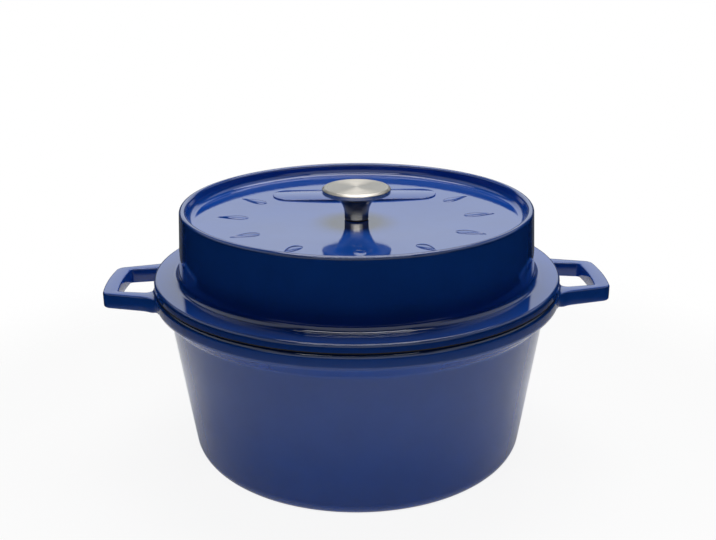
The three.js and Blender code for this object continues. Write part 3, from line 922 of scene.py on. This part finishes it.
class DUTCHOVEN_OT_stage(bpy.types.Operator):
    """Lay the pale floor, hang the lamps, light the background and set the camera"""

    bl_idname = "dutch_oven.stage"
    bl_label = "Studio"
    bl_options = {"REGISTER", "UNDO"}

    def execute(self, context):
        studio = context.scene.oven_studio
        self.lay_floor(studio)
        self.hang_lamps(context, studio)
        self.light_background(context, studio)
        self.set_camera(context, studio)
        context.scene.view_settings.view_transform = "Standard"
        return {"FINISHED"}

    def lay_floor(self, studio):
        """Lays a round sheet of paper under the pot."""
        radius = studio.floor_radius
        rim = [2 * math.pi * k / CASTING_SIDES for k in range(CASTING_SIDES)]
        vertices = [(radius * math.cos(t), radius * math.sin(t), 0) for t in rim]
        paper = studio_paper(studio.paper, studio.floor_clear, radius)
        floor = mesh_piece("studio_floor", vertices, [tuple(range(CASTING_SIDES))], [paper])

    def hang_lamp(self, context, name, place, aim, sides, watts):
        """Hangs a soft lamp at a place, aimed at a point, with two sides and a power."""
        lamp = bpy.data.lights.new(name, "AREA")
        lamp.shape = "RECTANGLE"
        lamp.size, lamp.size_y = sides
        lamp.energy = watts
        holder = bpy.data.objects.new(name, lamp)
        holder.location = place
        holder.rotation_euler = (aim - holder.location).to_track_quat("-Z", "Y").to_euler()
        holder.visible_camera = False
        context.scene.collection.objects.link(holder)
        return holder

    def flag_off(self, holder, piece):
        """Keeps a lamp off all but one piece, as flags in front of it would."""
        lit = bpy.data.collections.new(holder.name)
        lit.objects.link(bpy.data.objects[piece])
        holder.light_linking.receiver_collection = lit

    def hang_lamps(self, context, studio):
        """Hangs the softbox and the strip card over the oven, a low panel and a lamp over the floor."""
        high, wide = studio.lamp_height, studio.lamp_size
        oven = Vector((0, 0, POT_HIGH.z))
        paper = Vector((0, -studio.table_front, 0))

        place = (studio.lamp_aside, studio.lamp_back, high)
        self.hang_lamp(context, "softbox", place, oven, (wide, wide), studio.lamp_power)

        # The strip is a white card: it shows in the gloss and gives hardly any light
        place = (0, -studio.strip_front, high)
        sides = (wide, studio.strip_width)
        strip = self.hang_lamp(context, "strip", place, oven, sides, studio.strip_power)
        strip.visible_diffuse = False
        strip.data.color = studio.cool

        place = (0, -studio.panel_distance, studio.panel_height)
        sides = (studio.panel_width, studio.panel_depth)
        panel = self.hang_lamp(context, "panel", place, oven, sides, studio.panel_power)
        self.flag_off(panel, "knob_turning")

        place = (0, -studio.table_front, studio.table_height)
        sides = (wide, studio.table_depth)
        table = self.hang_lamp(context, "table_lamp", place, paper, sides, studio.table_power)
        self.flag_off(table, "studio_floor")

    def band(self, tree, value, step):
        """A smooth step: where it starts and ends along a value, and its strength before and after."""
        start, end, before, after = step
        return add_node(tree, "ShaderNodeMapRange", {
            "Value": value, "From Min": start, "From Max": end, "To Min": before, "To Max": after,
        }, interpolation_type="SMOOTHSTEP").outputs["Result"]

    def wall(self, tree, across, span, up, foot):
        """A white wall that spans some directions across, and stands on a foot above the horizon."""
        return add_node(tree, "ShaderNodeMath", {
            0: self.band(tree, across, span), 1: self.band(tree, up, foot),
        }, operation="MULTIPLY").outputs[0]

    def light_background(self, context, studio):
        """White behind, in front and high at both sides for gloss and metal, and a weak fill."""
        world = bpy.data.worlds.new("studio")
        world.use_nodes = True
        context.scene.world = world
        tree = world.node_tree
        way = add_node(tree, "ShaderNodeTexCoord").outputs["Generated"]
        apart = add_node(tree, "ShaderNodeSeparateXYZ", {"Vector": way})
        aside, along, up = (apart.outputs[axis] for axis in "XYZ")
        out = add_node(tree, "ShaderNodeMath", {0: aside}, operation="ABSOLUTE").outputs[0]
        direct = add_node(tree, "ShaderNodeLightPath").outputs["Is Camera Ray"]
        white = direct
        for wall in (
            self.wall(tree, along, BACK_WALL, up, BACK_WALL_FOOT),
            self.wall(tree, out, SIDE_WALLS, up, SIDE_WALLS_FOOT),
            self.wall(tree, along, FRONT_WALL, up, FRONT_WALL_FOOT),
        ):
            white = add_node(tree, "ShaderNodeMath", {0: white, 1: wall}, operation="MAXIMUM").outputs[0]
        tint = add_node(tree, "ShaderNodeMix", {
            "Factor": direct, MIX_A: solid(studio.cool), MIX_B: (1, 1, 1, 1),
        }, data_type="RGBA")
        fill = add_node(tree, "ShaderNodeBackground", {
            "Color": (1, 1, 1, 1), "Strength": self.band(tree, up, FILL),
        })
        shown = add_node(tree, "ShaderNodeBackground", {
            "Color": tint.outputs[MIX_RESULT], "Strength": white,
        })
        seen = add_node(tree, "ShaderNodeMixShader", {
            0: shown_rays(tree), 1: fill.outputs[0], 2: shown.outputs[0],
        })
        tree.links.new(seen.outputs[0], tree.nodes["World Output"].inputs["Surface"])

    def set_camera(self, context, studio):
        """Sets the camera in front of the pot, turned a little round it, looking down."""
        lens = bpy.data.cameras.new("camera")
        lens.lens = studio.lens
        lens.sensor_width = SENSOR
        camera = bpy.data.objects.new("camera", lens)
        tilt = Matrix.Rotation(math.pi / 2 - studio.camera_pitch, 4, "X")
        roll = Matrix.Rotation(-studio.camera_roll, 4, "Z")
        place = Matrix.Translation((studio.camera_aside, -studio.camera_distance, studio.camera_height))
        turn = Matrix.Rotation(-studio.camera_turn, 4, "Z")
        camera.matrix_world = turn @ place @ tilt @ roll
        context.scene.collection.objects.link(camera)
        context.scene.camera = camera


class DUTCHOVEN_PT_sidebar(bpy.types.Panel):
    """Lists the pieces of the dutch oven and their sizes"""

    bl_idname = "DUTCHOVEN_PT_sidebar"
    bl_label = "Dutch Oven"
    bl_space_type = "VIEW_3D"
    bl_region_type = "UI"
    bl_category = "Dutch Oven"

    def draw(self, context):
        """Draws a button for each operator, then a box with the values of each group."""
        for operator in OPERATORS:
            self.layout.operator(operator.bl_idname)
        for name, group in GROUPS.items():
            box = self.layout.box()
            box.label(text=group.__doc__)
            for key in group.__annotations__:
                box.prop(getattr(context.scene, name), key)


GROUPS = {
    "oven_pot": OvenPot,
    "oven_handles": OvenHandles,
    "oven_lid": OvenLid,
    "oven_knob": OvenKnob,
    "oven_relief": OvenRelief,
    "oven_finish": OvenFinish,
    "oven_studio": OvenStudio,
}

OPERATORS = (
    DUTCHOVEN_OT_pot,
    DUTCHOVEN_OT_handles,
    DUTCHOVEN_OT_lid,
    DUTCHOVEN_OT_relief,
    DUTCHOVEN_OT_knob,
    DUTCHOVEN_OT_fasteners,
    DUTCHOVEN_OT_stage,
)

CLASSES = (*GROUPS.values(), *OPERATORS, DUTCHOVEN_PT_sidebar)


def register():
    """Registers the classes and gives every scene the groups of values."""
    for cls in CLASSES:
        bpy.utils.register_class(cls)
    for name, group in GROUPS.items():
        setattr(bpy.types.Scene, name, PointerProperty(type=group))


def unregister():
    """Takes the groups off every scene and unregisters the classes."""
    for name in GROUPS:
        delattr(bpy.types.Scene, name)
    for cls in reversed(CLASSES):
        bpy.utils.unregister_class(cls)


def main():
    """Builds each piece and the studio."""
    register()
    bpy.ops.dutch_oven.pot()
    bpy.ops.dutch_oven.handles()
    bpy.ops.dutch_oven.lid()
    bpy.ops.dutch_oven.relief()
    bpy.ops.dutch_oven.knob()
    bpy.ops.dutch_oven.fasteners()
    bpy.ops.dutch_oven.stage()


if __name__ == "__main__":
    main()
